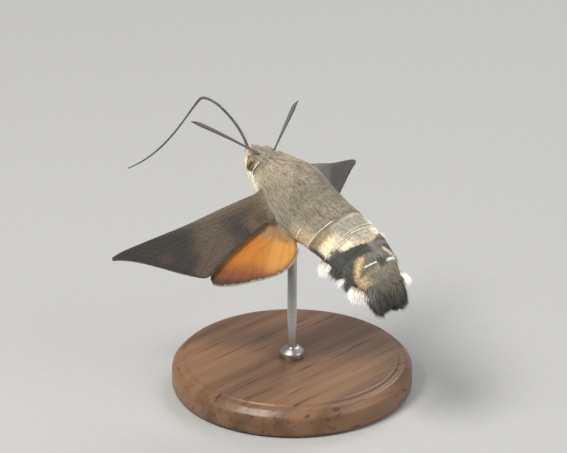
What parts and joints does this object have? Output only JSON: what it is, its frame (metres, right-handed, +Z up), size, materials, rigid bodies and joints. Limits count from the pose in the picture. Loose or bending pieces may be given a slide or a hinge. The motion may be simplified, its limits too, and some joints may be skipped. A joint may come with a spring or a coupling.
{
  "type": "hummingbird hawk moth model",
  "caption": "Life-size hummingbird hawk moth hovering with wings spread and tongue reaching forward, still, on a round base with a thin upright rod.",
  "frame": {"origin": "centre of the stand's flat underside", "axes": "+Z up, the moth faces -Y and its left side is towards +X"},
  "size_m": [0.0378, 0.0457, 0.037],
  "materials": {
    "coat": "soft grey-brown fur of hair scales",
    "abdomen_coat": "grey-brown fur with black, cream and white patches",
    "pale_coat": "cream scales",
    "dark_brush": "long black-brown scales",
    "forewing": "matt brown scales with dark lines",
    "hindwing": "matt orange scales with a dark border",
    "eye": "glossy brown",
    "feeler": "dark, slightly glossy",
    "leg": "pale scaled",
    "base_wood": "satin dark walnut",
    "rod_steel": "fine brushed"
  },
  "bodies": {
    "root": {"head": "coat", "thorax": "coat", "abdomen_front": "coat", "abdomen_middle": "abdomen_coat", "abdomen_rear": "abdomen_coat", "tail_brush": "dark_brush", "proboscis_upper": "feeler", "proboscis_lower": "feeler", "eye_left": "eye", "palp_left": "pale_coat", "antenna_left": "feeler", "forewing_left": "forewing", "hindwing_left": "hindwing", "leg_fore_left": "leg", "leg_mid_left": "leg", "leg_hind_left": "leg", "eye_right": "eye", "palp_right": "pale_coat", "antenna_right": "feeler", "forewing_right": "forewing", "hindwing_right": "hindwing", "leg_fore_right": "leg", "leg_mid_right": "leg", "leg_hind_right": "leg", "stand_base": "base_wood", "stand_rod": "rod_steel"}
  },
  "joints": []
}
